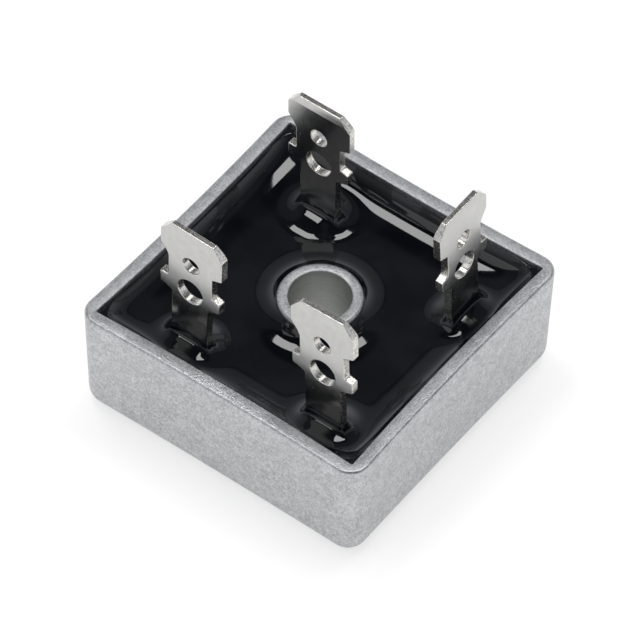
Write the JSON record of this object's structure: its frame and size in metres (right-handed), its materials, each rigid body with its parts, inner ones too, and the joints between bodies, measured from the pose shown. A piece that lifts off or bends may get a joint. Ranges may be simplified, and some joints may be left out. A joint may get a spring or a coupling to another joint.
{
  "type": "bridge rectifier",
  "caption": "Single-phase bridge rectifier: a square metal case filled with black epoxy, with push-on tabs standing out of it and a bolt hole through the middle.",
  "frame": {"origin": "middle of the flat base, on the axis of the bolt hole", "axes": "+Z out of the potted face along the tabs; +X from the minus corner to the front AC corner; +Y from there to the plus corner"},
  "size_m": [0.0284, 0.0284, 0.0227],
  "materials": {
    "case_aluminium": "satin tumbled",
    "epoxy": "gloss as poured",
    "tinned_brass": "bright tin plating",
    "insulation": "plain sheet, hidden",
    "silicon": "polished silicon, hidden",
    "solder": "solder, hidden"
  },
  "bodies": {
    "root": {"case": "case_aluminium", "potting": "epoxy", "terminal_plus": "tinned_brass", "terminal_minus": "tinned_brass", "terminal_ac_front": "tinned_brass", "terminal_ac_rear": "tinned_brass", "insulating_sheet": "insulation", "die_front": "silicon", "die_right": "silicon", "die_rear": "silicon", "die_left": "silicon", "solder_under_die_front": "solder", "solder_under_die_right": "solder", "solder_under_die_rear": "solder", "solder_under_die_left": "solder", "solder_over_die_front": "solder", "solder_over_die_right": "solder", "solder_over_die_rear": "solder", "solder_over_die_left": "solder"}
  },
  "joints": []
}
